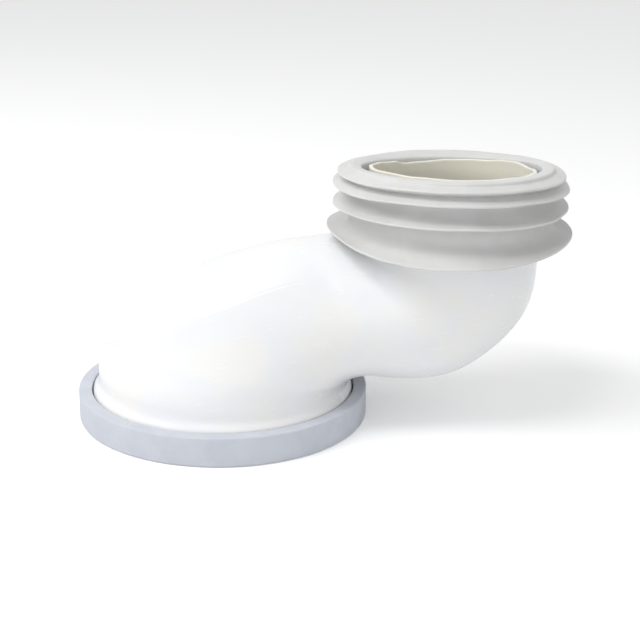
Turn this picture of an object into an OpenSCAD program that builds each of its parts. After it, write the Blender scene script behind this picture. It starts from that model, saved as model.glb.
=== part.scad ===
// Offset toilet flange, standing on its base gasket with the finned outlet upwards.
// Millimetres. +Z is up, +X runs from the inlet collar to the outlet spigot,
// and the origin is the centre of the gasket's underside.

/* [Inlet collar] */
// Bore of the round collar that takes the toilet's outlet
collar_bore_d = 120; // [110:1:130]
// Wall of the collar
collar_wall = 3; // [2.4:0.1:4]
// Height of the straight bore, above the gasket's inner lip
collar_bore_h = 13; // [12:0.5:13.5]
// How far the foot flares out past the collar's wall
foot_flare = 3.3; // [2:0.1:4]
// Height of the foot's upright edge
foot_edge_h = 6; // [5:0.5:7]

/* [Offset duct] */
// Distance between the inlet's axis and the outlet's axis
offset_d = 113; // [105:1:125]
// Wall of the moulded duct
duct_wall = 2.6; // [2.2:0.1:3.2]
// Underside of the level duct
duct_floor_z = 20; // [19.5:0.1:20.5]
// Top of the level duct
duct_top_z = 91.6; // [90:0.2:92]
// Half of the duct's width at its middle
duct_half_w = 46.3; // [44:0.1:48]
// Height at which the nose of the hood starts to lean back
nose_z = 34; // [32:0.5:38]

/* [Outlet spigot] */
// Outside diameter that the sleeve grips
spigot_od = 90.8; // [88:0.2:93]
// Height where the round spigot starts
spigot_z = 93; // [92.5:0.1:93.5]
// Height of the trimmed end of the spigot
spigot_end_z = 127.8; // [125:0.1:128]
// Bore of the spigot's narrow end
spigot_bore_d = 78.6; // [76:0.2:80]
// Wall of the narrow end
spigot_end_wall = 2; // [1.6:0.1:2.4]
// Length of the narrow end
spigot_nose_h = 12; // [10:0.5:14]

/* [Finned sleeve] */
// Gap between the sleeve and the spigot it is pushed over
sleeve_gap = 0.05; // [0.02:0.01:0.2]
// Wall of the sleeve between its fins
sleeve_wall = 4.5; // [3.5:0.1:5]
// Height of the sleeve's lower end
sleeve_z = 95.2; // [95:0.1:96]
// How far the lip's crest stands above the spigot's end
lip_rise = 2.2; // [1.7:0.1:3.7]
// Radius of the opening in the lip
lip_bore_r = 44.2; // [43:0.1:45]
// Thickness of a fin at its edge
fin_edge_t = 1.2; // [0.8:0.1:1.6]

/* [Base gasket] */
// Wall of the gasket outside the foot
gasket_wall = 6.6; // [5:0.1:8.2]
// Height of the gasket
gasket_h = 14.6; // [13:0.2:16]
// Gap around the foot inside the gasket
gasket_gap = 0.6; // [0.3:0.1:0.8]
// Thickness of the inner lip that the foot stands on
gasket_lip_t = 3; // [2:0.5:4]
// Rounding of the gasket's edges
gasket_edge = 0.8; // [0.4:0.1:1.2]

/* [Hidden] */
$fn = 96;
collar_r = collar_bore_d / 2 + collar_wall;
foot_r = collar_r + foot_flare;
foot_z = gasket_lip_t;
gasket_step_r = foot_r + gasket_gap;
gasket_od = 2 * (gasket_step_r + gasket_wall);
spigot_r = spigot_od / 2;
spigot_nose_r = spigot_bore_d / 2 + spigot_end_wall;
shell_r = spigot_r - 0.4;
far_x = offset_d + shell_r;
near_x = offset_d - shell_r;
sleeve_r = spigot_r + sleeve_gap + sleeve_wall;
lip_z = spigot_end_z + lip_rise;
// The duct's shell starts inside the collar's wall and ends inside the spigot's.
shell_start_z = foot_z + 6;
shell_end_z = spigot_z + 6;
// Points around half of a section, and steps between two stations.
half_n = 20;
step_n = 2;
// Each fin is [edge height, its edge's reach past the sleeve's wall, drop from its
// root to its edge]. Two keep their depth below the lip, one the sleeve's lower end.
fins = [[lip_z - 10.8, 8.05, 5], [lip_z - 21.7, 7.85, 5], [sleeve_z - 2.3, 10.55, 4.6]];

// A station is one section across the duct: a lower point and an upper point in
// the plane y = 0, the half width, how far the hood's crease shows from 0 to 1,
// and the crease's place as parts of the section's chord and of its half width.
// under(a, b) is a part of the way from the collar to the outlet's far side.
function under(a, b) = [
    collar_r + a * (far_x - collar_r),
    duct_floor_z + b * (shell_end_z - duct_floor_z)
];
// over(a, b) is a part of the way from the nose to the outlet's near side.
function over(a, b) = [
    -collar_r + a * (near_x + collar_r),
    nose_z + b * (duct_top_z - nose_z)
];
function station(low, high, w, crease, c_s, c_y) =
    [low[0], low[1], high[0], high[1], w, crease, c_s, c_y];
hood_w = collar_r - duct_half_w;
stations = [
    station([collar_r, shell_start_z], [-collar_r, shell_start_z], collar_r, 0, 0.99, 0.5),
    station([collar_r, foot_z + 12.8], [-collar_r, nose_z - 8], collar_r, 0, 0.99, 0.45),
    station(under(0.010, -0.005), over(0.005, 0.06), duct_half_w + 0.95 * hood_w, 0.35, 0.985, 0.38),
    station(under(0.021, 0.014), over(0.061, 0.22), duct_half_w + 0.88 * hood_w, 0.9, 0.972, 0.45),
    station(under(0.034, 0.024), over(0.13, 0.34), duct_half_w + 0.79 * hood_w, 1, 0.947, 0.61),
    station(under(0.048, 0.030), over(0.222, 0.483), duct_half_w + 0.64 * hood_w, 1, 0.921, 0.777),
    station(under(0.065, 0.033), over(0.329, 0.623), duct_half_w + 0.49 * hood_w, 1, 0.899, 0.857),
    station(under(0.084, 0.033), over(0.459, 0.748), duct_half_w + 0.34 * hood_w, 0.95, 0.892, 0.90),
    station(under(0.11, 0.030), over(0.597, 0.855), duct_half_w + 0.22 * hood_w, 0.7, 0.904, 0.914),
    station(under(0.147, 0.024), over(0.727, 0.94), duct_half_w + 0.13 * hood_w, 0.3, 0.905, 0.90),
    station(under(0.21, 0.011), over(0.834, 0.985), duct_half_w + 0.06 * hood_w, 0, 0.88, 0.8),
    station(under(0.304, 0.001), over(0.911, 1.002), duct_half_w + 0.02 * hood_w, 0, 0.85, 0.7),
    station(under(0.43, 0.001), over(0.961, 1.012), duct_half_w, 0, 0.85, 0.7),
    station(under(0.577, 0.04), over(0.984, 1.026), shell_r + 0.8, 0, 0.85, 0.7),
    station(under(0.713, 0.132), over(0.993, 1.043), shell_r + 0.5, 0, 0.85, 0.7),
    station(under(0.839, 0.263), over(0.998, 1.06), shell_r + 0.3, 0, 0.85, 0.7),
    station(under(0.938, 0.418), over(1, 1.074), shell_r + 0.1, 0, 0.85, 0.7),
    station(under(0.988, 0.59), over(1, 1.088), shell_r, 0, 0.85, 0.7),
    station(under(0.999, 0.78), over(1, 1.1), shell_r, 0, 0.85, 0.7),
    station([far_x, shell_end_z], [near_x, shell_end_z], shell_r, 0, 0.85, 0.7)
];
last_u = len(stations) - 1;

// A smooth curve through the stations, at u from 0 to last_u.
function at(i) = stations[max(0, min(last_u, i))];
function spline(a, b, c, d, t) =
    b + 0.5 * t * (c - a + t * (2 * a - 5 * b + 4 * c - d + t * (3 * b - a - 3 * c + d)));
function along(u) =
    let (i = min(floor(u), last_u - 1))
    spline(at(i - 1), at(i), at(i + 1), at(i + 2), u - i);
function unit(v) = v / norm(v);
function mix(a, b, t) = a + (b - a) * t;

// One point of a section: f runs from 0 at the lower point to 180 at the upper.
// A plain section is an ellipse. A creased one has a wall that leans in to the
// crease, at 135, and a low roof above it.
function round_at(f) = [(1 - cos(f)) / 2, sin(f)];
function crease_at(f, c_s, c_y) =
    f <= 90 ? round_at(f)
    : f <= 135 ? let (v = (f - 90) / 45) [mix(0.5, c_s, v), 1 - (1 - c_y) * pow(v, 2.2)]
    : let (v = (180 - f) / 45) [1 - (1 - c_s) * v * v, c_y * v];

// The section at u, moved inwards by t, as a closed ring of 3-D points.
function section(u, t) =
    let (
        p = along(u),
        a = along(max(0, u - 0.05)),
        b = along(min(last_u, u + 0.05)),
        n_low = unit([a[1] - b[1], b[0] - a[0]]),
        n_high = unit([b[3] - a[3], a[2] - b[2]]),
        low = [p[0], p[1]] + t * n_low,
        high = [p[2], p[3]] + t * n_high,
        w = p[4] - t,
        k = max(0, min(1, p[5]))
    )
    [for (j = [0:2 * half_n - 1])
        let (
            f = 180 * (j <= half_n ? j : 2 * half_n - j) / half_n,
            side = j <= half_n ? -1 : 1,
            q = mix(round_at(f), crease_at(f, p[6], p[7]), k),
            c = mix(low, high, q[0])
        )
        [c[0], side * w * q[1], c[1]]];

// The shell of the duct: its outer skin, its inner skin, and a flat ring at each end.
module duct_shell() {
    ring_n = 2 * half_n;
    rows = last_u * step_n;
    us = [for (i = [0:rows]) i / step_n];
    skins = [for (t = [0, duct_wall]) for (u = us) each section(u, t)];
    function id(s, i, j) = (s * (rows + 1) + i) * ring_n + (j + ring_n) % ring_n;
    function quad(a, b, c, d) = [[a, b, c], [a, c, d]];
    cells = [for (i = [0:rows - 1]) for (j = [0:ring_n - 1]) [i, j]];
    outer = [for (c = cells) each quad(
        id(0, c[0], c[1]), id(0, c[0], c[1] + 1), id(0, c[0] + 1, c[1] + 1), id(0, c[0] + 1, c[1]))];
    inner = [for (c = cells) each quad(
        id(1, c[0], c[1]), id(1, c[0] + 1, c[1]), id(1, c[0] + 1, c[1] + 1), id(1, c[0], c[1] + 1))];
    start = [for (j = [0:ring_n - 1]) each quad(
        id(0, 0, j), id(1, 0, j), id(1, 0, j + 1), id(0, 0, j + 1))];
    end = [for (j = [0:ring_n - 1]) each quad(
        id(0, rows, j), id(0, rows, j + 1), id(1, rows, j + 1), id(1, rows, j))];
    polyhedron(skins, concat(outer, inner, start, end), convexity = 8);
}

// The collar's wall, with the foot that flares out inside the gasket.
module collar() {
    bore_r = collar_bore_d / 2;
    top_z = foot_z + collar_bore_h;
    rotate_extrude() polygon([
        [bore_r, foot_z],
        [foot_r, foot_z],
        [foot_r, foot_z + foot_edge_h],
        [foot_r - 0.5, foot_z + foot_edge_h + 1.8],
        [collar_r + 1.2, top_z - 2],
        [collar_r + 0.4, top_z - 0.6],
        [collar_r - 0.8, top_z],
        [bore_r, top_z]
    ]);
}

// The spigot: a barrel that the sleeve grips, then a narrower end with a straight bore.
module spigot() {
    bore_r = spigot_bore_d / 2;
    barrel_r = spigot_r - duct_wall - 0.8;
    taper_z = spigot_end_z - spigot_nose_h;
    translate([offset_d, 0, 0]) rotate_extrude() polygon([
        [barrel_r, spigot_z],
        [spigot_r, spigot_z],
        [spigot_r, taper_z - 10],
        [spigot_nose_r, taper_z],
        [spigot_nose_r, spigot_end_z],
        [bore_r, spigot_end_z],
        [bore_r, taper_z],
        [barrel_r, taper_z - 10]
    ]);
}

module offset_duct() {
    color([0.93, 0.93, 0.93]) union() {
        duct_shell();
        collar();
        spigot();
    }
}

// A thin fin that slopes down to its edge, as a half profile.
module fin_profile(edge_z, edge_r, drop) {
    root_r = sleeve_r - 0.5;
    polygon([
        [root_r, edge_z + drop - 1.2],
        [sleeve_r + 2, edge_z + 0.62 * drop - 0.6],
        [edge_r - 0.4, edge_z],
        [edge_r, edge_z + 0.4 * fin_edge_t],
        [edge_r - 0.2, edge_z + fin_edge_t],
        [sleeve_r + 3.4, edge_z + 0.62 * drop + 1],
        [sleeve_r + 0.9, edge_z + drop + 0.9],
        [root_r, edge_z + drop + 2.8]
    ]);
}

module finned_sleeve() {
    grip_r = spigot_r + sleeve_gap;
    color([0.85, 0.85, 0.84]) translate([offset_d, 0, 0]) rotate_extrude() union() {
        polygon([
            [grip_r, sleeve_z],
            [sleeve_r - 0.6, sleeve_z],
            [sleeve_r, sleeve_z + 0.8],
            [sleeve_r, lip_z - 7.6],
            [sleeve_r + 6, lip_z - 5],
            [sleeve_r + 6.2, lip_z - 4.2],
            [sleeve_r + 5.6, lip_z - 3.5],
            [sleeve_r + 1, lip_z - 1.7],
            [sleeve_r - 0.2, lip_z - 0.6],
            [sleeve_r - 1.6, lip_z],
            [lip_bore_r + 1, lip_z - 0.3],
            [lip_bore_r, lip_z - 1.4],
            [lip_bore_r, lip_z - 5],
            [grip_r, lip_z - 7]
        ]);
        for (f = fins) fin_profile(f[0], sleeve_r + f[1], f[2]);
    }
}

module base_gasket() {
    r = gasket_od / 2;
    color([0.80, 0.81, 0.84]) rotate_extrude() polygon([
        [collar_bore_d / 2, 0],
        [r - gasket_edge, 0],
        [r, gasket_edge],
        [r, gasket_h - gasket_edge],
        [r - gasket_edge, gasket_h],
        [gasket_step_r + 0.4, gasket_h],
        [gasket_step_r, gasket_h - 0.4],
        [gasket_step_r, gasket_lip_t],
        [collar_bore_d / 2, gasket_lip_t]
    ]);
}

offset_duct();
finned_sleeve();
base_gasket();
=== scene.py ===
import math

import bmesh
import bpy
from mathutils import Matrix, Vector, noise


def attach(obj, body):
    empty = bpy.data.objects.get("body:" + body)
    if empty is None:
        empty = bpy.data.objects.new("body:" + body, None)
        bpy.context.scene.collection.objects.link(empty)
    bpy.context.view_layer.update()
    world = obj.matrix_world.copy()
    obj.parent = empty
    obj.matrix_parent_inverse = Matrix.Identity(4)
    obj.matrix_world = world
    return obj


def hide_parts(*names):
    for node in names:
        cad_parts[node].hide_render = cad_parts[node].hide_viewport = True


bl_info = {
    "name": "Offset toilet flange",
    "version": (1, 0, 0),
    "blender": (4, 5, 0),
    "location": "3D View > Sidebar > Flange",
    "description": "Moulded duct, finned sleeve and base gasket of an offset flange, with a photo stage",
    "category": "Object",
}

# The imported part, as a fixed frame. +X runs to the outlet, +Z is up, metres.
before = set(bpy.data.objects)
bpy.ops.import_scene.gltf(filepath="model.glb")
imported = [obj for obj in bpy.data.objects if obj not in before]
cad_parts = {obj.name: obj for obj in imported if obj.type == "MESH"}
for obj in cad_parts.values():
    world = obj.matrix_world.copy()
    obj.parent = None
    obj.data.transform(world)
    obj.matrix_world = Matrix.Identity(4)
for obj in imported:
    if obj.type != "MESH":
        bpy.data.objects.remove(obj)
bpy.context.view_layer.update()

MM = 0.001


# ---------------------------------------------------------------- small tools

def mix(a, b, share):
    return a + (b - a) * share


def ease(low, high, value):
    """0 below low, 1 above high, and a smooth rise between them."""
    share = min(1.0, max(0.0, (value - low) / (high - low)))
    return share * share * (3 - 2 * share)


def along(rows, at):
    """A smooth curve through rows of numbers, at 0 for the first row, 1 for the next, and so on."""
    last = len(rows) - 1
    first = min(int(at), last - 1)
    t = at - first
    a, b, c, d = (rows[max(0, min(last, i))] for i in (first - 1, first, first + 1, first + 2))
    return [
        q + 0.5 * t * (r - p + t * (2 * p - 5 * q + 4 * r - s + t * (3 * q - p - 3 * r + s)))
        for p, q, r, s in zip(a, b, c, d)
    ]


def between(table, at):
    """The value at a place, from a table of places and values in rising order."""
    if at <= table[0][0]:
        return table[0][1]
    for (a, low), (b, high) in zip(table, table[1:]):
        if at <= b:
            return mix(low, high, ease(a, b, at))
    return table[-1][1]


def rough(point, size, seed=0.0):
    """Smooth unevenness between about -1 and 1, with bumps of this size in millimetres."""
    return noise.noise(Vector(point) / size + Vector((seed, 0.7 * seed, 1.3 * seed)))


def rolled_sheet(rings):
    """A grid of quads laid over rings of points in millimetres and closed both ways."""
    columns, rows = len(rings[0]), len(rings)
    bm = bmesh.new()
    bmesh.ops.create_grid(bm, x_segments=columns, y_segments=rows, size=0.5)
    for v in bm.verts:
        column = round((v.co.x + 0.5) * columns) % columns
        row = round((v.co.y + 0.5) * rows) % rows
        v.co = rings[row][column] * MM
    bmesh.ops.remove_doubles(bm, verts=bm.verts, dist=0.002 * MM)
    return bm


def turned(profile, centre_x, steps):
    """A closed outline of radius and height in millimetres, spun into a ring."""
    bm = bmesh.new()
    verts = [bm.verts.new((centre_x + r * MM, 0, z * MM)) for r, z in profile]
    edges = [bm.edges.new((a, b)) for a, b in zip(verts, verts[1:] + verts[:1])]
    bmesh.ops.spin(
        bm, geom=verts + edges, cent=(centre_x, 0, 0), axis=(0, 0, 1),
        angle=math.tau, steps=steps, use_merge=True, use_duplicate=False,
    )
    bmesh.ops.remove_doubles(bm, verts=bm.verts, dist=0.002 * MM)
    return bm


def finished_piece(bm, name, material, node):
    """A mesh made into a smooth piece that rides on the part and stands for one CAD node."""
    bmesh.ops.recalc_face_normals(bm, faces=bm.faces)
    if bm.calc_volume(signed=True) < 0:
        bmesh.ops.reverse_faces(bm, faces=bm.faces)
    for face in bm.faces:
        face.smooth = True
    mesh = bpy.data.meshes.new(name)
    bm.to_mesh(mesh)
    bm.free()
    mesh.materials.append(material)
    piece = bpy.data.objects.new(name, mesh)
    bpy.context.scene.collection.objects.link(piece)
    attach(piece, "root")
    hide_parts(node)
    return piece


# ---------------------------------------------------------------- settings

def length(name, description, millimetres):
    return bpy.props.FloatProperty(
        name=name, description=description, default=millimetres * MM,
        min=0.0, soft_max=0.5, precision=5, unit="LENGTH", subtype="DISTANCE",
    )


def share(name, description, default):
    return bpy.props.FloatProperty(
        name=name, description=description, default=default, min=0.0, max=1.0, subtype="FACTOR",
    )


def colour(name, description, default):
    return bpy.props.FloatVectorProperty(
        name=name, description=description, default=default, size=3, min=0.0, max=1.0, subtype="COLOR",
    )


class FlangeDuctSettings(bpy.types.PropertyGroup):
    offset: length("Offset", "Distance between the inlet's axis and the outlet's axis", 113)
    collar_radius: length("Collar radius", "Outside radius of the round collar", 63)
    collar_bore: length("Collar bore", "Inside radius of the collar", 60)
    foot_radius: length("Foot radius", "Outside radius of the foot in the gasket", 66.3)
    foot_height: length("Foot height", "Height at which the foot stands on the gasket's lip", 3)
    floor_height: length("Duct underside", "Underside of the level duct", 20)
    roof_height: length("Duct top", "Top of the level duct", 91.6)
    nose_height: length("Nose height", "Height at which the nose starts to lean back", 34)
    half_width: length("Half width", "Half of the duct's width at its middle", 46.3)
    wall: length("Wall", "Wall of the moulding", 2.6)
    spigot_radius: length("Spigot radius", "Outside radius that the sleeve grips", 45.4)
    spigot_end_radius: length("Spigot end radius", "Outside radius of the narrow end", 41.3)
    spigot_bore: length("Spigot bore", "Bore radius of the narrow end", 39.3)
    seam_depth: length("Seam depth", "Depth of the moulding seam along the hood's fold", 0.45)
    seam_width: length("Seam width", "Half width of the moulding seam", 0.5)
    unevenness: length("Unevenness", "How far the moulded skin wanders from its true shape", 0.16)


class FlangeSleeveSettings(bpy.types.PropertyGroup):
    centre: length("Centre", "Distance of the sleeve's axis from the inlet's axis", 113)
    grip_radius: length("Grip radius", "Inside radius that grips the spigot", 45.45)
    wall_radius: length("Wall radius", "Outside radius between the fins", 49.95)
    bottom: length("Lower end", "Height of the sleeve's lower end", 95.2)
    crest: length("Lip crest", "Height of the lip's crest", 130)
    opening: length("Opening radius", "Radius of the opening in the lip", 44.2)
    fin_edge: length("Fin edge", "Thickness of a fin at its edge", 1.1)
    lip_sag: length("Lip sag", "How far the lip's inner edge hangs lower at the back", 6.6)
    waviness: length("Waviness", "How far the fins' edges wander up and down", 0.35)


class FlangeGasketSettings(bpy.types.PropertyGroup):
    radius: length("Radius", "Outside radius of the gasket", 73.5)
    height: length("Height", "Height of the gasket", 14.6)
    step_radius: length("Step radius", "Radius of the step that holds the foot", 66.9)
    bore: length("Bore", "Inside radius of the lip under the foot", 60)
    lip: length("Lip thickness", "Thickness of the lip under the foot", 3)
    edge: length("Edge rounding", "Rounding of the gasket's edges", 0.8)
    unevenness: length("Unevenness", "How far the soft ring wanders from round", 0.25)


class FlangeFinishSettings(bpy.types.PropertyGroup):
    plastic: colour("Plastic", "White of the moulded duct", (0.86, 0.862, 0.866))
    # Painted shade: the inner skin and the cut end get this darker cream in place of the shade inside the spigot.
    inside_painted_shade: colour("Painted inside shade", "Cream tone of the inner skin and the cut end", (0.80, 0.775, 0.67))
    sleeve: colour("Sleeve rubber", "Light warm grey of the finned sleeve", (0.66, 0.66, 0.655))
    gasket: colour("Gasket rubber", "Bluish light grey of the base gasket", (0.585, 0.61, 0.665))
    wear: share("Handling marks", "Strength of the fine scuffs and specks", 0.5)


class FlangeStageSettings(bpy.types.PropertyGroup):
    daylight: share("Room light", "Strength of the even light from all around", 0.62)
    key_watts: bpy.props.FloatProperty(
        name="Key light", description="Power of the large soft light at the upper left",
        default=11.0, min=0.0, soft_max=100.0, unit="POWER",
    )
    fill_watts: bpy.props.FloatProperty(
        name="Fill light", description="Power of the wide soft light in front",
        default=2.5, min=0.0, soft_max=100.0, unit="POWER",
    )
    crown_watts: bpy.props.FloatProperty(
        name="Crown light", description="Power of the small light overhead that draws the shine along the hood",
        default=2.0, min=0.0, soft_max=100.0, unit="POWER",
    )
    focal_length: bpy.props.FloatProperty(
        name="Focal length", description="Focal length of the photo's camera on a 36 mm sensor",
        default=73.125, min=10.0, soft_max=200.0, unit="CAMERA",
    )


# ---------------------------------------------------------------- the moulded duct

# One section across the duct: lower point (x, z), upper point (x, z), half width,
# how far the hood's fold shows, and the fold's place as parts of the chord and half width.
def duct_sections(s):
    collar, floor = s.collar_radius / MM, s.floor_height / MM
    roof, nose = s.roof_height / MM, s.nose_height / MM
    shell, centre, half = s.spigot_radius / MM - 0.4, s.offset / MM, s.half_width / MM
    far, near, end = centre + shell, centre - shell, 99.0
    hood = collar - half

    def under(a, b):
        return collar + a * (far - collar), floor + b * (end - floor)

    def over(a, b):
        return -collar + a * (near + collar), nose + b * (roof - nose)

    return [
        (collar, 9, -collar, 9, collar, 0, 0.999, 0.04),
        (collar, 15.8, -collar, nose - 8, collar, 0, 0.998, 0.06),
        (*under(0.010, -0.005), *over(0.005, 0.06), half + 0.95 * hood, 0.30, 0.992, 0.15),
        (*under(0.021, 0.014), *over(0.061, 0.22), half + 0.88 * hood, 0.9, 0.963, 0.455),
        (*under(0.034, 0.024), *over(0.13, 0.34), half + 0.79 * hood, 1, 0.943, 0.615),
        (*under(0.048, 0.030), *over(0.222, 0.483), half + 0.64 * hood, 1, 0.915, 0.777),
        (*under(0.065, 0.033), *over(0.329, 0.623), half + 0.49 * hood, 1, 0.899, 0.857),
        (*under(0.084, 0.033), *over(0.459, 0.748), half + 0.34 * hood, 0.95, 0.892, 0.90),
        (*under(0.11, 0.030), *over(0.597, 0.855), half + 0.22 * hood, 0.7, 0.904, 0.914),
        (*under(0.147, 0.024), *over(0.727, 0.94), half + 0.13 * hood, 0.3, 0.905, 0.90),
        (*under(0.21, 0.011), *over(0.834, 0.985), half + 0.06 * hood, 0, 0.88, 0.8),
        (*under(0.304, 0.001), *over(0.911, 1.002), half + 0.02 * hood, 0, 0.85, 0.7),
        (*under(0.43, 0.001), *over(0.961, 1.012), half, 0, 0.85, 0.7),
        (*under(0.577, 0.04), *over(0.984, 1.026), shell + 0.8, 0, 0.85, 0.7),
        (*under(0.713, 0.132), *over(0.993, 1.043), shell + 0.5, 0, 0.85, 0.7),
        (*under(0.839, 0.263), *over(0.998, 1.06), shell + 0.3, 0, 0.85, 0.7),
        (*under(0.938, 0.418), *over(1, 1.074), shell + 0.1, 0, 0.85, 0.7),
        (*under(0.988, 0.59), *over(1, 1.088), shell, 0, 0.85, 0.7),
        (*under(0.999, 0.78), *over(1, 1.1), shell, 0, 0.85, 0.7),
        (far, end, near, end, shell, 0, 0.85, 0.7),
    ]


# Places around half of a section, from 0 at its lower point to 180 at its upper
# point. They crowd together at the fold, at 135, where the seam is fine.
FOLD = 135
SEAM_STEPS = (0.28, 0.55, 0.85, 1.2, 1.7, 2.3, 3.1, 4.2, 5.6, 7.4, 9.8, 13)


def places_around():
    below = [(FOLD - SEAM_STEPS[-1]) * i / 28 for i in range(28)]
    above = [FOLD + SEAM_STEPS[-1] + (180 - FOLD - SEAM_STEPS[-1]) * i / 8 for i in range(1, 9)]
    seam = [FOLD - e for e in reversed(SEAM_STEPS)] + [FOLD] + [FOLD + e for e in SEAM_STEPS]
    half = below + seam + above
    return [(place, -1) for place in half] + [(place, 1) for place in half[-2:0:-1]]


# The foot's shoulder: how far it stands out from the collar at each height.
SHOULDER = (
    (9, 3.3), (12.6, 3.25), (14.3, 2.95), (15.5, 2.2), (16.5, 1.25), (17.9, 0.5), (20, 0.12), (22.5, 0),
)

# The spigot's taper starts and ends at these heights.
TAPER_STARTS, TAPER_ENDS = 105.8, 115.8

# Height of the spigot's trimmed end by the angle around it, from +X through the back.
TRIMMED_END = (
    (-180, 127.4), (-140, 129.1), (-114, 129.4), (-60, 128.9), (-30, 127.8), (-3, 126.2), (12, 125.3), (28, 125.8),
    (39, 125.3), (60, 123.7), (84, 123.0), (101, 121.9), (118, 121.8), (130, 123.5), (153, 125.2), (180, 127.4),
)


def fold_point(place, fold_share, fold_chord, fold_width):
    """Where a place lies on a section, as parts of its chord and of its half width."""
    # Where the fold is close to the symmetry plane, the places move up with it.
    turn = mix(math.degrees(math.acos(1 - 2 * fold_chord)), FOLD, ease(0.45, 0.85, fold_width))
    if place <= FOLD:
        angle = math.radians(place * turn / FOLD)
    else:
        angle = math.radians(turn + (place - FOLD) * (180 - turn) / (180 - FOLD))
    turn = math.radians(turn)
    plain = bent = (1 - math.cos(angle)) / 2, math.sin(angle)
    if place > FOLD:
        v = math.sin(angle) / math.sin(turn)
        bent = 1 - (1 - fold_chord) * v * v, fold_width * v
    elif angle > math.pi / 2:
        v = math.cos(angle) / math.cos(turn)
        bent = mix(0.5, fold_chord, v), 1 - (1 - fold_width) * v ** 2.2
    return mix(plain[0], bent[0], fold_share), mix(plain[1], bent[1], fold_share)


# The fold is rounded by averaging over these places on either side of it.
ROUNDING = ((-3.2, 1), (-1.6, 2), (0, 3), (1.6, 2), (3.2, 1))


def section_ring(sections, at, inwards, places):
    """The section at a place along the duct, moved inwards, as a ring of points."""
    last = len(sections) - 1
    row = along(sections, at)
    before, after = along(sections, max(0, at - 0.05)), along(sections, min(last, at + 0.05))
    low_in = Vector((before[1] - after[1], after[0] - before[0])).normalized()
    high_in = Vector((after[3] - before[3], before[2] - after[2])).normalized()
    low = Vector(row[0:2]) + inwards * low_in
    high = Vector(row[2:4]) + inwards * high_in
    width = row[4] - inwards
    fold_share = min(1, max(0, row[5]))
    ring = []
    for place, side in places:
        taken = ROUNDING if abs(place - FOLD) < 25 and fold_share > 0 else ((0, 1),)
        points = [(fold_point(place + e, fold_share, row[6], row[7]), w) for e, w in taken]
        total = sum(w for _, w in points)
        chord = sum(p[0] * w for p, w in points) / total
        across = sum(p[1] * w for p, w in points) / total
        middle = low.lerp(high, chord)
        ring.append(Vector((middle.x, side * width * across, middle.y)))
    return ring


def level_ring(centre_x, radius, height, places, fold_at=FOLD):
    """A level circle whose points keep the order of a section's points, with the fold at this angle."""
    ring = []
    for place, side in places:
        if place <= FOLD:
            turn = math.radians(place * fold_at / FOLD)
        else:
            turn = math.radians(fold_at + (place - FOLD) * (180 - fold_at) / (180 - FOLD))
        ring.append(Vector((centre_x + radius * math.cos(turn), side * radius * math.sin(turn), height)))
    return ring


def foot_shoulder(ring):
    """Stands the lower points of a ring out from the collar, as the foot's shoulder does."""
    for p in ring:
        out = between(SHOULDER, p.z)
        if out > 0 and p.z < 23:
            away = Vector((p.x, p.y, 0)).normalized()
            p += away * out
    return ring


def trimmed_ring(centre_x, radius, below, places):
    """A ring near the spigot's cut end, which is wavy and lower at the back."""
    ring = level_ring(centre_x, radius, 0, places)
    for p in ring:
        angle = math.degrees(math.atan2(p.y, p.x - centre_x))
        wobble = 0.25 * rough((math.cos(math.radians(angle)), math.sin(math.radians(angle)), 0), 0.25, 3)
        p.z = between(TRIMMED_END, angle) + wobble - below
        p.x += 0.8
    return ring


def duct_rings(s):
    """The rings of the whole skin: up the outside, over the cut end and down the inside."""
    sections, places = duct_sections(s), places_around()
    centre, collar = s.offset / MM, s.collar_radius / MM
    bore, foot, foot_z = s.collar_bore / MM, s.foot_radius / MM, s.foot_height / MM
    grip, end_out, end_in = (v / MM for v in (s.spigot_radius, s.spigot_end_radius, s.spigot_bore))
    wall = s.wall / MM
    nose = s.nose_height / MM
    collar_fold = math.degrees(math.acos(1 - 2 * sections[1][6]))
    rings = [level_ring(0, r, z, places, collar_fold) for r, z in (
        (bore + 0.4, foot_z), (bore + 3, foot_z), (foot - 0.5, foot_z), (foot - 0.1, foot_z + 0.15),
        (foot, foot_z + 0.5), (foot, foot_z + 2), (foot, foot_z + 4),
    )]
    rings += [foot_shoulder(level_ring(0, collar, z, places, collar_fold)) for z in (9, 10.5, 12)]
    steps = 9
    for i in range(steps):
        share_up = i / steps
        low_z, high_z = mix(13, 15.8, share_up), mix(13, nose - 8, share_up)
        ring = []
        for p in level_ring(0, collar, 0, places, collar_fold):
            p.z = mix(low_z, high_z, (collar - p.x) / (2 * collar))
            ring.append(p)
        rings.append(foot_shoulder(ring))
    per_section = 8
    outer_start = len(rings)
    for i in range(per_section, 18 * per_section + 5):
        rings.append(foot_shoulder(section_ring(sections, i / per_section, 0, places)))
    outer_end = len(rings)
    half_way = (TAPER_STARTS + TAPER_ENDS) / 2
    rings += [level_ring(centre, r, z, places) for r, z in (
        (grip - 0.3, 100), (grip, 101.5), (grip, TAPER_STARTS), (mix(grip, end_out, 0.5), half_way),
        (end_out, TAPER_ENDS), (end_out, 118.5),
    )]
    rings += [trimmed_ring(centre, r, below, places) for r, below in (
        (end_out, 3.5), (end_out, 1.2), (end_out, 0.5), (end_out - 0.12, 0.15), (end_out - 0.5, 0),
        (end_in + 0.45, 0), (end_in + 0.1, 0.15), (end_in, 0.5), (end_in, 1.5), (end_in, 4),
    )]
    barrel = grip - wall - 0.8
    rings += [level_ring(centre, r, z, places) for r, z in (
        (end_in, 116), (mix(end_in, barrel, 0.5), half_way), (barrel, TAPER_STARTS), (barrel, 101),
    )]
    for i in range(18 * 3, 3, -1):
        rings.append(section_ring(sections, i / 3 + 0.3 * (i == 54), wall, places))
    rings += [level_ring(0, bore, z, places, collar_fold) for z in (14.5, 12, 8, foot_z + 1, foot_z + 0.4)]
    return rings, places, (outer_start, outer_end, per_section)


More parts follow.
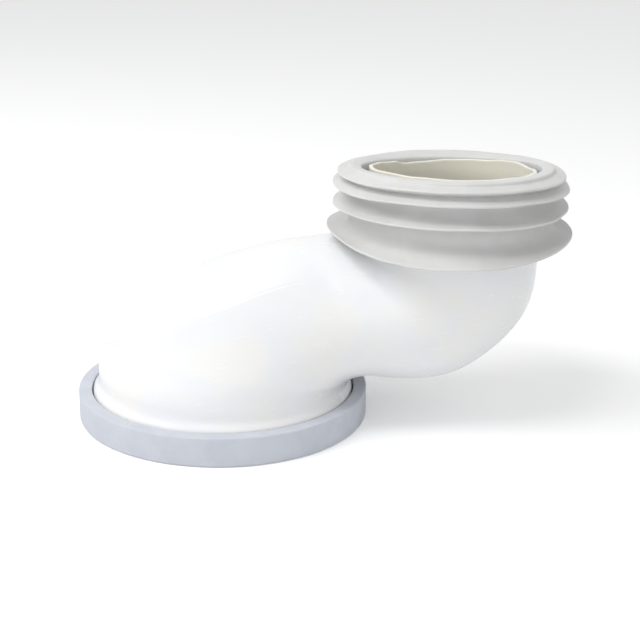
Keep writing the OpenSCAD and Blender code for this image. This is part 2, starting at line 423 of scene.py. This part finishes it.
# How strongly the seam shows along the duct, by section. It is a shallow flat
# strip at the nose and a fine line above the wall.
SEAM_SHOWS = ((2.9, 0), (3.4, 0.25), (4.6, 0.3), (5.0, 1), (7.6, 1), (8.6, 0.55), (9.3, 0))
STRIP_SHOWS = ((2.02, 0), (2.07, 1), (2.9, 1), (3.6, 0))

# Sizes of the flat strip, of the swelling beside the seam, and how far around the
# fold both reach, in places.
STRIP_HALF, STRIP_DEPTH, STRIP_BORDER, SEAM_SWELL, SEAM_REACH = 1.9, 0.35, 0.22, 0.16, 9


def press_seam(rings, places, span, s):
    """Presses the seam and the flat strip into the skin along the hood's fold."""
    start, end, per_section = span
    depth, width = s.seam_depth / MM, s.seam_width / MM
    columns = len(places)
    moved = []
    for row in range(start, end):
        at = 1 + (row - start) / per_section
        line, strip = between(SEAM_SHOWS, at), between(STRIP_SHOWS, at)
        if line <= 0 and strip <= 0:
            continue
        ring, ahead, behind = rings[row], rings[row + 1], rings[row - 1]
        folds = [i for i, (place, _) in enumerate(places) if place == FOLD]
        for column, (place, side) in enumerate(places):
            if abs(place - FOLD) > SEAM_REACH:
                continue
            fold = ring[folds[0] if side < 0 else folds[1]]
            p = ring[column]
            d = (p - fold).length * (1 if place > FOLD else -1)
            around = ring[(column + 1) % columns] - ring[column - 1]
            out = around.cross(ahead[column] - behind[column]).normalized()
            if out.dot(p - Vector((p.x * 0.5 + 20, 0, 30))) < 0:
                out.negate()
            broken = 0.75 + 0.35 * rough((at * 6, side * 5, 0), 1.0, 5)
            press = -depth * line * broken * math.exp(-(d / width) ** 2)
            press += SEAM_SWELL * line * math.exp(-((abs(d) - 2.2 * width) / width) ** 2)
            within = ease(STRIP_HALF, STRIP_HALF - 0.7, abs(d))
            border = math.exp(-((abs(d) - STRIP_HALF - 0.2) / 0.5) ** 2)
            press += strip * (STRIP_BORDER * border - STRIP_DEPTH * within)
            moved.append((p, out * press))
    for p, step in moved:
        p += step


def build_duct(s):
    rings, places, span = duct_rings(s)
    press_seam(rings, places, span, s)
    uneven = s.unevenness / MM
    for ring in rings[span[0]:span[1]]:
        for p in ring:
            free = ease(18, 30, p.z) * ease(96, 88, p.z)
            p += Vector((rough(p, 26, 1), rough(p, 26, 2), rough(p, 26, 3))) * uneven * free
    bm = rolled_sheet(rings)
    piece = finished_piece(bm, "duct_moulding", plastic_material(), "offset_duct")
    mark_inside(piece, s)
    return piece


# The outlet's straight barrel starts at this height.
BARREL_BOTTOM = 92.5


def mark_inside(piece, s):
    """Stores how far each point is on the inner skin or the cut end, where the plastic gets its painted shade."""
    mesh = piece.data
    layer = mesh.attributes.new("inner_skin_shade", "FLOAT", "POINT")
    centre, bore_top = s.offset, BARREL_BOTTOM * MM
    for v, value in zip(mesh.vertices, layer.data):
        from_outlet = math.hypot(v.co.x - centre, v.co.y)
        in_spigot = v.co.z > bore_top and from_outlet < s.spigot_end_radius - 0.3 * MM
        towards_axis = v.normal.dot(Vector((centre - v.co.x, -v.co.y, 0))) > 0
        value.value = 1.0 if in_spigot or (towards_axis and v.co.z > bore_top) else 0.0


# ---------------------------------------------------------------- the finned sleeve

# Each fin: edge height, edge radius, drop from its root to its edge.
FINS = ((92.9, 61.0, 4.6), (108.3, 58.2, 5.0), (119.2, 58.2, 5.0))

# How the fins' edges sit on the real part: rise of the whole edge, more at the
# sides than front and back, and more at the back than in front.
FIN_SITS = ((1.8, 2.3, 1.65), (0.9, -0.1, 0.3), (0.2, -0.4, 0.1))

# How far the lip's rim tips up and down around the sleeve.
LIP_TILT = 0.25


def bow(start, control, end, steps):
    """Points on a curve that leaves start and reaches end, pulled towards control."""
    points = []
    for i in range(1, steps + 1):
        t = i / steps
        points.append(tuple(
            (1 - t) ** 2 * a + 2 * t * (1 - t) * b + t * t * c for a, b, c in zip(start, control, end)
        ))
    return points


def sleeve_profile(s):
    """The outline of the sleeve's wall, fins and lip, as radius and height."""
    wall, grip, bottom = s.wall_radius / MM, s.grip_radius / MM, s.bottom / MM
    crest, opening, edge = s.crest / MM, s.opening / MM, s.fin_edge / MM
    line = [(grip, bottom), (grip + 2, bottom), (wall - 0.6, bottom)]
    line += bow(line[-1], (wall, bottom), (wall, bottom + 0.7), 3)
    for tip_z, tip_r, drop in FINS:
        root_low, root_high = (wall, tip_z + drop - 1.0), (wall, tip_z + drop + 3.0)
        line += [root_low]
        line += bow(root_low, (wall + 1.5, tip_z + 0.55 * drop - 0.6), (tip_r - 0.45, tip_z), 9)
        tip_top = (tip_r - 0.3, tip_z + edge)
        line += bow(line[-1], (tip_r + 0.25, tip_z + 0.1), (tip_r, tip_z + 0.45 * edge), 3)
        line += bow(line[-1], (tip_r, tip_z + edge), tip_top, 3)
        line += bow(tip_top, (wall + 1.6, tip_z + 0.5 * drop + 0.9), root_high, 12)
        line += [(wall, root_high[1] + 1.2)]
    rim_r, rim_z = wall + 6.2, crest - 4.2
    line += [(wall, crest - 7.8)]
    line += bow(line[-1], (wall + 1.2, crest - 6.6), (rim_r - 0.5, rim_z - 0.55), 7)
    line += bow(line[-1], (rim_r + 0.05, rim_z - 0.4), (rim_r, rim_z), 3)
    line += bow(line[-1], (rim_r - 0.05, rim_z + 0.6), (rim_r - 0.7, rim_z + 0.75), 3)
    step_r = 50.6
    line += bow(line[-1], (mix(rim_r, step_r, 0.6), rim_z + 1.7), (step_r + 0.5, crest - 1.9), 6)
    line += bow(line[-1], (step_r + 0.05, crest - 1.75), (step_r, crest - 1.2), 3)
    line += bow(line[-1], (step_r - 0.1, crest - 0.45), (step_r - 1.1, crest - 0.2), 4)
    line += bow(line[-1], (step_r - 2.6, crest + 0.05), (opening + 1.2, crest - 0.15), 5)
    line += bow(line[-1], (opening + 0.1, crest - 0.15), (opening, crest - 1.1), 5)
    line += [(opening, crest - 3), (opening + 0.1, crest - 4.8)]
    line += bow(line[-1], (grip - 0.1, crest - 6), (grip, crest - 7.5), 4)
    line += [(grip, mix(bottom, crest - 7.5, 1 - i / 12)) for i in range(1, 12)]
    return line


def settle_sleeve(bm, s):
    """Moves the fins and the lip as the soft rubber sits: fins drooped and wavy, lip lower at the back."""
    wall, opening, crest = s.wall_radius / MM, s.opening / MM, s.crest / MM
    wave, sag_most = s.waviness / MM, s.lip_sag / MM
    for v in bm.verts:
        x, y, z = v.co.x / MM - s.centre / MM, v.co.y / MM, v.co.z / MM
        radius, angle = math.hypot(x, y), math.atan2(y, x)
        rise = 0.0
        for (tip_z, tip_r, drop), (whole, sides, back) in zip(FINS, FIN_SITS):
            if radius > wall + 0.02 and tip_z - 1.5 < z < tip_z + drop + 3.2:
                reach = ((radius - wall) / (tip_r - wall)) ** 1.4
                edge = whole + sides * math.cos(2 * angle) + back * math.sin(angle)
                ripple = math.sin(3 * angle + tip_z) + 0.6 * math.sin(5 * angle + 2 * tip_z)
                edge += wave * (ripple + 0.3 * math.sin(11 * angle))
                spot = (20 * math.cos(angle), 20 * math.sin(angle), tip_z)
                edge += 0.5 * wave * rough(spot, 3.0, tip_z)
                rise = edge * reach
        lip = ease(crest - 12, crest - 5, z)
        if lip > 0 and radius > 44:
            facing_back = (0.5 + 0.5 * math.cos(angle - math.radians(98))) ** 1.5
            inner = min(1, max(0, (56.2 - radius) / (56.2 - opening)))
            sag = facing_back * mix(0.3, 1.0, inner) * sag_most
            rise -= lip * sag
            rise += lip * 0.3 * wave * math.sin(4 * angle + 1)
            if radius > wall + 0.5:
                rise += LIP_TILT * math.sin(2 * angle - 0.6)
        v.co.z = (z + rise) * MM


def build_sleeve(s):
    bm = turned(sleeve_profile(s), s.centre, 200)
    settle_sleeve(bm, s)
    return finished_piece(bm, "finned_sleeve_rubber", sleeve_material(), "finned_sleeve")


# ---------------------------------------------------------------- the base gasket

def build_gasket(s):
    outer, step, bore = s.radius / MM, s.step_radius / MM, s.bore / MM
    height, lip, edge = s.height / MM, s.lip / MM, s.edge / MM
    outline = [
        (bore, 0), (mix(bore, outer, 0.5), 0), (outer, 0), (outer, 0.35 * height), (outer, 0.7 * height),
        (outer, height),
        (step, height), (step, mix(lip, height, 0.5)), (step, lip), (bore, lip),
    ]
    bm = turned(outline, 0, 180)
    bmesh.ops.recalc_face_normals(bm, faces=bm.faces)
    rims = [e for e in bm.edges if e.calc_face_angle(0) > math.radians(40)]
    bmesh.ops.bevel(
        bm, geom=rims, offset=edge * MM, offset_type="OFFSET", affect="EDGES",
        segments=4, profile=0.5, material=-1, clamp_overlap=True,
    )
    uneven = s.unevenness / MM
    for v in bm.verts:
        p = v.co / MM
        out = Vector((p.x, p.y, 0)).normalized()
        drift = uneven * rough((out.x * 40, out.y * 40, p.z * 0.5), 14, 7)
        share_out = ease(step + 1, outer, math.hypot(p.x, p.y))
        p += out * (drift * share_out - 0.1 * uneven)
        if p.z > height * 0.8:
            p.z += 0.6 * uneven * rough((out.x * 40, out.y * 40, 9), 11, 4) * share_out
        v.co = p * MM
    return finished_piece(bm, "base_gasket_ring", gasket_material(), "base_gasket")


# ---------------------------------------------------------------- finishes

def new_tree(material):
    material.use_nodes = True
    tree = material.node_tree
    tree.nodes.clear()
    return tree


def add(tree, kind, inputs=None, **settings):
    """A node with its settings and the plain values of its inputs."""
    made = tree.nodes.new(kind)
    for name, value in settings.items():
        setattr(made, name, value)
    for name, value in (inputs or {}).items():
        made.inputs[name].default_value = value
    return made


def link(tree, *pairs):
    for source, target in pairs:
        tree.links.new(source, target)


def sum_of(tree, a, b, operation="ADD", clamp=False):
    """A Math node on two sockets or numbers."""
    made = add(tree, "ShaderNodeMath", operation=operation, use_clamp=clamp)
    for socket, value in zip(made.inputs, (a, b)):
        if isinstance(value, (int, float)):
            socket.default_value = value
        else:
            tree.links.new(value, socket)
    return made.outputs[0]


def ramp(tree, value, stops, interpolation="EASE"):
    made = add(tree, "ShaderNodeValToRGB")
    made.color_ramp.interpolation = interpolation
    elements = made.color_ramp.elements
    while len(elements) < len(stops):
        elements.new(0.5)
    for element, (position, level) in zip(elements, stops):
        element.position = position
        element.color = (level, level, level, 1)
    tree.links.new(value, made.inputs["Fac"])
    return made.outputs["Color"]


def blend_colours(tree, amount, a, b, mode="MIX"):
    """A Mix node on two colours, each a socket or plain numbers."""
    made = add(tree, "ShaderNodeMix", data_type="RGBA", blend_type=mode, clamp_factor=True)
    for socket, value in ((made.inputs[0], amount), (made.inputs[6], a), (made.inputs[7], b)):
        if isinstance(value, (int, float)):
            socket.default_value = value
        elif isinstance(value, (tuple, list)):
            socket.default_value = (*value[:3], 1)
        else:
            tree.links.new(value, socket)
    return made.outputs[2]


def surface_group():
    """Mottle, grain, specks and scuffs that all three finishes share, with a painted highlight on raised edges and
    painted shade in hollows.
    """
    found = bpy.data.node_groups.get("Handled surface and painted light")
    if found:
        return found
    group = bpy.data.node_groups.new("Handled surface and painted light", "ShaderNodeTree")
    faces = group.interface
    faces.new_socket("Position", in_out="INPUT", socket_type="NodeSocketVector")
    sizes = (("Mottle size", 22.0), ("Grain size", 0.6), ("Speck spacing", 9.0), ("Scuff size", 7.0))
    for name, default in sizes:
        faces.new_socket(name, in_out="INPUT", socket_type="NodeSocketFloat").default_value = default
    for name in ("Mottle", "Grain", "Specks", "Scuffs", "Edge", "Hollow shade"):
        faces.new_socket(name, in_out="OUTPUT", socket_type="NodeSocketFloat")
    way_in, way_out = add(group, "NodeGroupInput"), add(group, "NodeGroupOutput")
    in_mm = add(group, "ShaderNodeVectorMath", operation="SCALE")
    in_mm.inputs["Scale"].default_value = 1 / MM
    link(group, (way_in.outputs["Position"], in_mm.inputs[0]))

    def sized(name):
        scaled = add(group, "ShaderNodeVectorMath", operation="SCALE")
        per_mm = sum_of(group, 1.0, way_in.outputs[name], "DIVIDE")
        link(group, (in_mm.outputs[0], scaled.inputs[0]), (per_mm, scaled.inputs["Scale"]))
        return scaled.outputs[0]

    mottle = add(group, "ShaderNodeTexNoise", {"Scale": 1.0, "Detail": 4.0, "Roughness": 0.55, "Distortion": 0.4})
    link(group, (sized("Mottle size"), mottle.inputs["Vector"]), (mottle.outputs["Fac"], way_out.inputs["Mottle"]))
    grain = add(group, "ShaderNodeTexNoise", {"Scale": 1.0, "Detail": 3.0, "Roughness": 0.6})
    link(group, (sized("Grain size"), grain.inputs["Vector"]), (grain.outputs["Fac"], way_out.inputs["Grain"]))
    speck = add(group, "ShaderNodeTexVoronoi", {"Scale": 1.0, "Randomness": 1.0}, feature="F1")
    link(group, (sized("Speck spacing"), speck.inputs["Vector"]))
    rare = ramp(group, speck.outputs["Color"], ((0.78, 0.0), (0.80, 1.0)), "LINEAR")
    dot = ramp(group, speck.outputs["Distance"], ((0.025, 1.0), (0.06, 0.0)), "LINEAR")
    link(group, (sum_of(group, rare, dot, "MULTIPLY"), way_out.inputs["Specks"]))
    stretch = add(group, "ShaderNodeVectorMath", operation="MULTIPLY")
    stretch.inputs[1].default_value = (0.35, 1.0, 2.2)
    scuff = add(group, "ShaderNodeTexNoise", {"Scale": 1.0, "Detail": 5.0, "Roughness": 0.7, "Distortion": 1.2})
    link(group, (sized("Scuff size"), stretch.inputs[0]), (stretch.outputs[0], scuff.inputs["Vector"]))
    link(group, (ramp(group, scuff.outputs["Fac"], ((0.56, 0.0), (0.72, 1.0))), way_out.inputs["Scuffs"]))
    shape = add(group, "ShaderNodeNewGeometry")
    # Edge: a painted highlight, a paler mask on raised edges and fin rims found by pointiness, broken up by the
    # mottle.
    raised = ramp(group, shape.outputs["Pointiness"], ((0.515, 0.0), (0.60, 1.0)))
    broken = ramp(group, mottle.outputs["Fac"], ((0.3, 0.55), (0.7, 1.0)))
    link(group, (sum_of(group, raised, broken, "MULTIPLY"), way_out.inputs["Edge"]))
    # Hollow shade: painted shade, a mask of concave places found by pointiness.
    link(group, (ramp(group, shape.outputs["Pointiness"], ((0.40, 1.0), (0.485, 0.0))), way_out.inputs["Hollow shade"]))
    return group


def placed_surface(tree, mottle, grain, speck, scuff):
    """The shared surface group in a material, fed with the piece's own coordinates."""
    place = add(tree, "ShaderNodeTexCoord")
    group = add(tree, "ShaderNodeGroup", node_tree=surface_group())
    sizes = {"Mottle size": mottle, "Grain size": grain, "Speck spacing": speck, "Scuff size": scuff}
    for name, value in sizes.items():
        group.inputs[name].default_value = value
    link(tree, (place.outputs["Object"], group.inputs["Position"]))
    return place.outputs["Object"], group.outputs


def shaded(tree, base, roughness, height, distance, **constants):
    """The Principled shader with its bump and its plain values."""
    shader = add(tree, "ShaderNodeBsdfPrincipled", constants)
    bump = add(tree, "ShaderNodeBump", {"Strength": 1.0, "Distance": distance * MM})
    out = add(tree, "ShaderNodeOutputMaterial")
    link(
        tree, (base, shader.inputs["Base Color"]), (roughness, shader.inputs["Roughness"]),
        (height, bump.inputs["Height"]), (bump.outputs["Normal"], shader.inputs["Normal"]),
        (shader.outputs["BSDF"], out.inputs["Surface"]),
    )
    return shader


def plastic_material():
    look = bpy.context.scene.flange_finish
    material = bpy.data.materials.new("White moulded plastic")
    tree = new_tree(material)
    place, surface = placed_surface(tree, mottle=30.0, grain=1.4, speck=16.0, scuff=9.0)
    white, inside = tuple(look.plastic), tuple(look.inside_painted_shade)
    cool = tuple(c * k for c, k in zip(white, (0.965, 0.98, 1.0)))
    warm = tuple(c * k for c, k in zip(white, (1.0, 0.992, 0.972)))
    tone = blend_colours(tree, ramp(tree, surface["Mottle"], ((0.35, 0.0), (0.65, 1.0))), cool, warm)
    # Painted shade: the inner skin and the cut end turn a darker cream, in place of the shade inside the spigot.
    within = add(tree, "ShaderNodeAttribute", attribute_name="inner_skin_shade")
    tone = blend_colours(tree, within.outputs["Fac"], tone, inside)
    # Painted shade: concave places, found by pointiness, are darkened a little towards grey.
    tone = blend_colours(tree, sum_of(tree, surface["Hollow shade"], 0.12, "MULTIPLY"), tone, (0.42, 0.41, 0.39))
    tone = blend_colours(tree, sum_of(tree, surface["Specks"], 0.55 * look.wear, "MULTIPLY"), tone, (0.33, 0.32, 0.31))
    rough_base = sum_of(tree, sum_of(tree, surface["Mottle"], 0.10, "MULTIPLY"), 0.20)
    roughness = sum_of(tree, rough_base, sum_of(tree, surface["Scuffs"], 0.12 * look.wear, "MULTIPLY"), clamp=True)
    peel = add(tree, "ShaderNodeTexNoise", {"Scale": 160.0, "Detail": 2.0, "Roughness": 0.5})
    link(tree, (place, peel.inputs["Vector"]))
    height = sum_of(tree, sum_of(tree, surface["Grain"], 0.25, "MULTIPLY"), peel.outputs["Fac"])
    shaded(tree, tone, roughness, height, 0.02, **{"IOR": 1.49, "Specular IOR Level": 0.5})
    return material


def sleeve_material():
    look = bpy.context.scene.flange_finish
    material = bpy.data.materials.new("Grey sleeve rubber")
    tree = new_tree(material)
    _, surface = placed_surface(tree, mottle=16.0, grain=0.5, speck=11.0, scuff=5.0)
    grey = tuple(look.sleeve)
    deep = tuple(c * k for c, k in zip(grey, (0.95, 0.945, 0.935)))
    pale = tuple(min(1, c * 1.12) for c in grey)
    tone = blend_colours(tree, ramp(tree, surface["Mottle"], ((0.35, 0.0), (0.65, 1.0))), deep, grey)
    # Painted highlight: raised edges and fin rims turn paler.
    tone = blend_colours(tree, sum_of(tree, surface["Edge"], 0.8, "MULTIPLY"), tone, pale)
    tone = blend_colours(tree, sum_of(tree, surface["Scuffs"], 0.25 * look.wear, "MULTIPLY"), tone, pale)
    tone = blend_colours(tree, sum_of(tree, surface["Specks"], 0.4 * look.wear, "MULTIPLY"), tone, (0.30, 0.29, 0.28))
    roughness = sum_of(tree, sum_of(tree, surface["Mottle"], 0.16, "MULTIPLY"), 0.40)
    roughness = sum_of(tree, roughness, sum_of(tree, surface["Scuffs"], 0.10, "MULTIPLY"), clamp=True)
    shaded(tree, tone, roughness, surface["Grain"], 0.05, **{"IOR": 1.50, "Specular IOR Level": 0.42})
    return material


def gasket_material():
    look = bpy.context.scene.flange_finish
    material = bpy.data.materials.new("Blue grey gasket rubber")
    tree = new_tree(material)
    _, surface = placed_surface(tree, mottle=13.0, grain=0.8, speck=7.0, scuff=6.0)
    grey = tuple(look.gasket)
    deep = tuple(c * k for c, k in zip(grey, (0.935, 0.94, 0.955)))
    pale = tuple(min(1, c * k) for c, k in zip(grey, (1.12, 1.10, 1.08)))
    tone = blend_colours(tree, ramp(tree, surface["Mottle"], ((0.35, 0.0), (0.65, 1.0))), deep, grey)
    # Painted highlight: the gasket's raised edges turn paler.
    tone = blend_colours(tree, sum_of(tree, surface["Edge"], 0.5, "MULTIPLY"), tone, pale)
    tone = blend_colours(tree, sum_of(tree, surface["Specks"], 0.35 * look.wear, "MULTIPLY"), tone, (0.25, 0.26, 0.28))
    roughness = sum_of(tree, sum_of(tree, surface["Grain"], 0.20, "MULTIPLY"), 0.52, clamp=True)
    height = sum_of(tree, surface["Grain"], sum_of(tree, surface["Mottle"], 0.8, "MULTIPLY"))
    shaded(tree, tone, roughness, height, 0.10, **{"IOR": 1.48, "Specular IOR Level": 0.35})
    return material


# ---------------------------------------------------------------- the stage

# The photo's camera: what it looks at in the symmetry plane, how far away it
# stands, and its turns to the side, down and about its own axis, in radians.
LOOKS_AT = (0.049326, 0.0, 0.048008)
STANDS_OFF = 0.662267
TO_THE_SIDE, DOWNWARDS, ROLLED = -0.053, 0.323, 0.014


def photo_camera(focal_length):
    data = bpy.data.cameras.new("Photo camera")
    data.sensor_width, data.sensor_fit = 36, "HORIZONTAL"
    data.lens = focal_length
    data.clip_start, data.clip_end = 0.01, 50
    camera = bpy.data.objects.new("Photo camera", data)
    bpy.context.scene.collection.objects.link(camera)
    side, down = TO_THE_SIDE, DOWNWARDS
    back = Vector((math.sin(side) * math.cos(down), -math.cos(side) * math.cos(down), math.sin(down)))
    right = Vector((math.cos(side), math.sin(side), 0))
    up = right.cross(-back)
    right, up = (
        math.cos(ROLLED) * right + math.sin(ROLLED) * up,
        -math.sin(ROLLED) * right + math.cos(ROLLED) * up,
    )
    turn = Matrix((right, up, back)).transposed().to_4x4()
    camera.matrix_world = Matrix.Translation(Vector(LOOKS_AT) + back * STANDS_OFF) @ turn
    bpy.context.scene.camera = camera


def soft_light(name, place, size, watts, tint=(1, 1, 1)):
    data = bpy.data.lights.new(name, "AREA")
    data.shape, data.size, data.energy, data.color = "DISK", size, watts, tint
    lamp = bpy.data.objects.new(name, data)
    bpy.context.scene.collection.objects.link(lamp)
    lamp.location = place
    lamp.rotation_euler = (Vector((0.05, 0, 0.05)) - Vector(place)).to_track_quat("-Z", "Y").to_euler()
    return lamp


def seen_directly(tree):
    """1 for a ray that the camera, a reflection or a clear piece sends, and 0 for other light."""
    path = add(tree, "ShaderNodeLightPath")
    seen = sum_of(tree, path.outputs["Is Camera Ray"], path.outputs["Is Glossy Ray"], "MAXIMUM")
    return sum_of(tree, seen, path.outputs["Is Transmission Ray"], "MAXIMUM")


def white_room(strength):
    world = bpy.data.worlds.new("White room")
    bpy.context.scene.world = world
    tree = new_tree(world)
    light = add(tree, "ShaderNodeBackground", {"Color": (0.985, 0.99, 1, 1), "Strength": strength})
    backdrop = add(tree, "ShaderNodeBackground", {"Color": (1, 1, 1, 1), "Strength": 1.0})
    choice, out = add(tree, "ShaderNodeMixShader"), add(tree, "ShaderNodeOutputWorld")
    seen = seen_directly(tree)
    link(
        tree, (seen, choice.inputs[0]), (light.outputs[0], choice.inputs[1]),
        (backdrop.outputs[0], choice.inputs[2]), (choice.outputs[0], out.inputs["Surface"]),
    )


def floor_material():
    """White paper that keeps the shadow, and is clear from below."""
    material = bpy.data.materials.new("White floor")
    tree = new_tree(material)
    paper = add(tree, "ShaderNodeBsdfDiffuse", {"Color": (0.92, 0.92, 0.92, 1)})
    lift = add(tree, "ShaderNodeEmission", {"Color": (1, 1, 1, 1), "Strength": 0.2})
    bright, lifted = add(tree, "ShaderNodeAddShader"), add(tree, "ShaderNodeMixShader")
    clear, sided = add(tree, "ShaderNodeBsdfTransparent"), add(tree, "ShaderNodeMixShader")
    out, shape = add(tree, "ShaderNodeOutputMaterial"), add(tree, "ShaderNodeNewGeometry")
    seen = seen_directly(tree)
    link(
        tree, (paper.outputs[0], bright.inputs[0]), (lift.outputs[0], bright.inputs[1]),
        (seen, lifted.inputs[0]), (paper.outputs[0], lifted.inputs[1]),
        (bright.outputs[0], lifted.inputs[2]), (shape.outputs["Backfacing"], sided.inputs[0]),
        (lifted.outputs[0], sided.inputs[1]), (clear.outputs[0], sided.inputs[2]),
        (sided.outputs[0], out.inputs["Surface"]),
    )
    return material


def build_stage(s):
    bm = bmesh.new()
    bmesh.ops.create_grid(bm, x_segments=8, y_segments=8, size=6)
    bmesh.ops.translate(bm, vec=(0, 0, -0.3 * MM), verts=bm.verts)
    mesh = bpy.data.meshes.new("floor")
    bm.to_mesh(mesh)
    bm.free()
    mesh.materials.append(floor_material())
    floor = bpy.data.objects.new("floor", mesh)
    bpy.context.scene.collection.objects.link(floor)
    white_room(s.daylight)
    soft_light("Key light", (-0.9, -0.25, 1.3), 1.0, s.key_watts, (1, 0.995, 0.985))
    soft_light("Fill light", (-0.1, -1.7, 0.75), 1.4, s.fill_watts, (0.98, 0.99, 1))
    soft_light("Crown light", (-0.2, -0.42, 1.1), 0.35, s.crown_watts)
    photo_camera(s.focal_length)
    bpy.context.scene.view_settings.view_transform = "Standard"


# ---------------------------------------------------------------- operators and panel

class FLANGE_OT_duct(bpy.types.Operator):
    """Build the white moulded duct with its collar, hood, elbow and spigot"""

    bl_idname = "flange.duct"
    bl_label = "Moulded duct"

    def execute(self, context):
        build_duct(context.scene.flange_duct)
        return {"FINISHED"}


class FLANGE_OT_sleeve(bpy.types.Operator):
    """Build the grey rubber sleeve with its fins and lip"""

    bl_idname = "flange.sleeve"
    bl_label = "Finned sleeve"

    def execute(self, context):
        build_sleeve(context.scene.flange_sleeve)
        return {"FINISHED"}


class FLANGE_OT_gasket(bpy.types.Operator):
    """Build the soft ring around the foot"""

    bl_idname = "flange.gasket"
    bl_label = "Base gasket"

    def execute(self, context):
        build_gasket(context.scene.flange_gasket)
        return {"FINISHED"}


class FLANGE_OT_stage(bpy.types.Operator):
    """Build the white floor, the soft lights and the photo's camera"""

    bl_idname = "flange.stage"
    bl_label = "Photo stage"

    def execute(self, context):
        build_stage(context.scene.flange_stage)
        return {"FINISHED"}


class FLANGE_PT_panel(bpy.types.Panel):
    """The pieces of the offset flange and their sizes"""

    bl_label = "Offset flange"
    bl_idname = "FLANGE_PT_panel"
    bl_space_type = "VIEW_3D"
    bl_region_type = "UI"
    bl_category = "Flange"

    def draw(self, context):
        for operator, settings in PIECES:
            box = self.layout.box()
            box.operator(operator)
            group = getattr(context.scene, settings)
            for name in group.__annotations__:
                box.prop(group, name)
        box = self.layout.box()
        box.label(text="Finishes")
        for name in context.scene.flange_finish.__annotations__:
            box.prop(context.scene.flange_finish, name)


PIECES = (
    ("flange.duct", "flange_duct"),
    ("flange.sleeve", "flange_sleeve"),
    ("flange.gasket", "flange_gasket"),
    ("flange.stage", "flange_stage"),
)

SETTINGS = {
    "flange_duct": FlangeDuctSettings,
    "flange_sleeve": FlangeSleeveSettings,
    "flange_gasket": FlangeGasketSettings,
    "flange_finish": FlangeFinishSettings,
    "flange_stage": FlangeStageSettings,
}

CLASSES = (
    *SETTINGS.values(), FLANGE_OT_duct, FLANGE_OT_sleeve, FLANGE_OT_gasket, FLANGE_OT_stage, FLANGE_PT_panel,
)


def register():
    for cls in CLASSES:
        bpy.utils.register_class(cls)
    for name, cls in SETTINGS.items():
        setattr(bpy.types.Scene, name, bpy.props.PointerProperty(type=cls))


def unregister():
    for name in SETTINGS:
        delattr(bpy.types.Scene, name)
    for cls in reversed(CLASSES):
        bpy.utils.unregister_class(cls)


def main():
    register()
    bpy.ops.flange.duct()
    bpy.ops.flange.sleeve()
    bpy.ops.flange.gasket()
    bpy.ops.flange.stage()


if __name__ == "__main__":
    main()
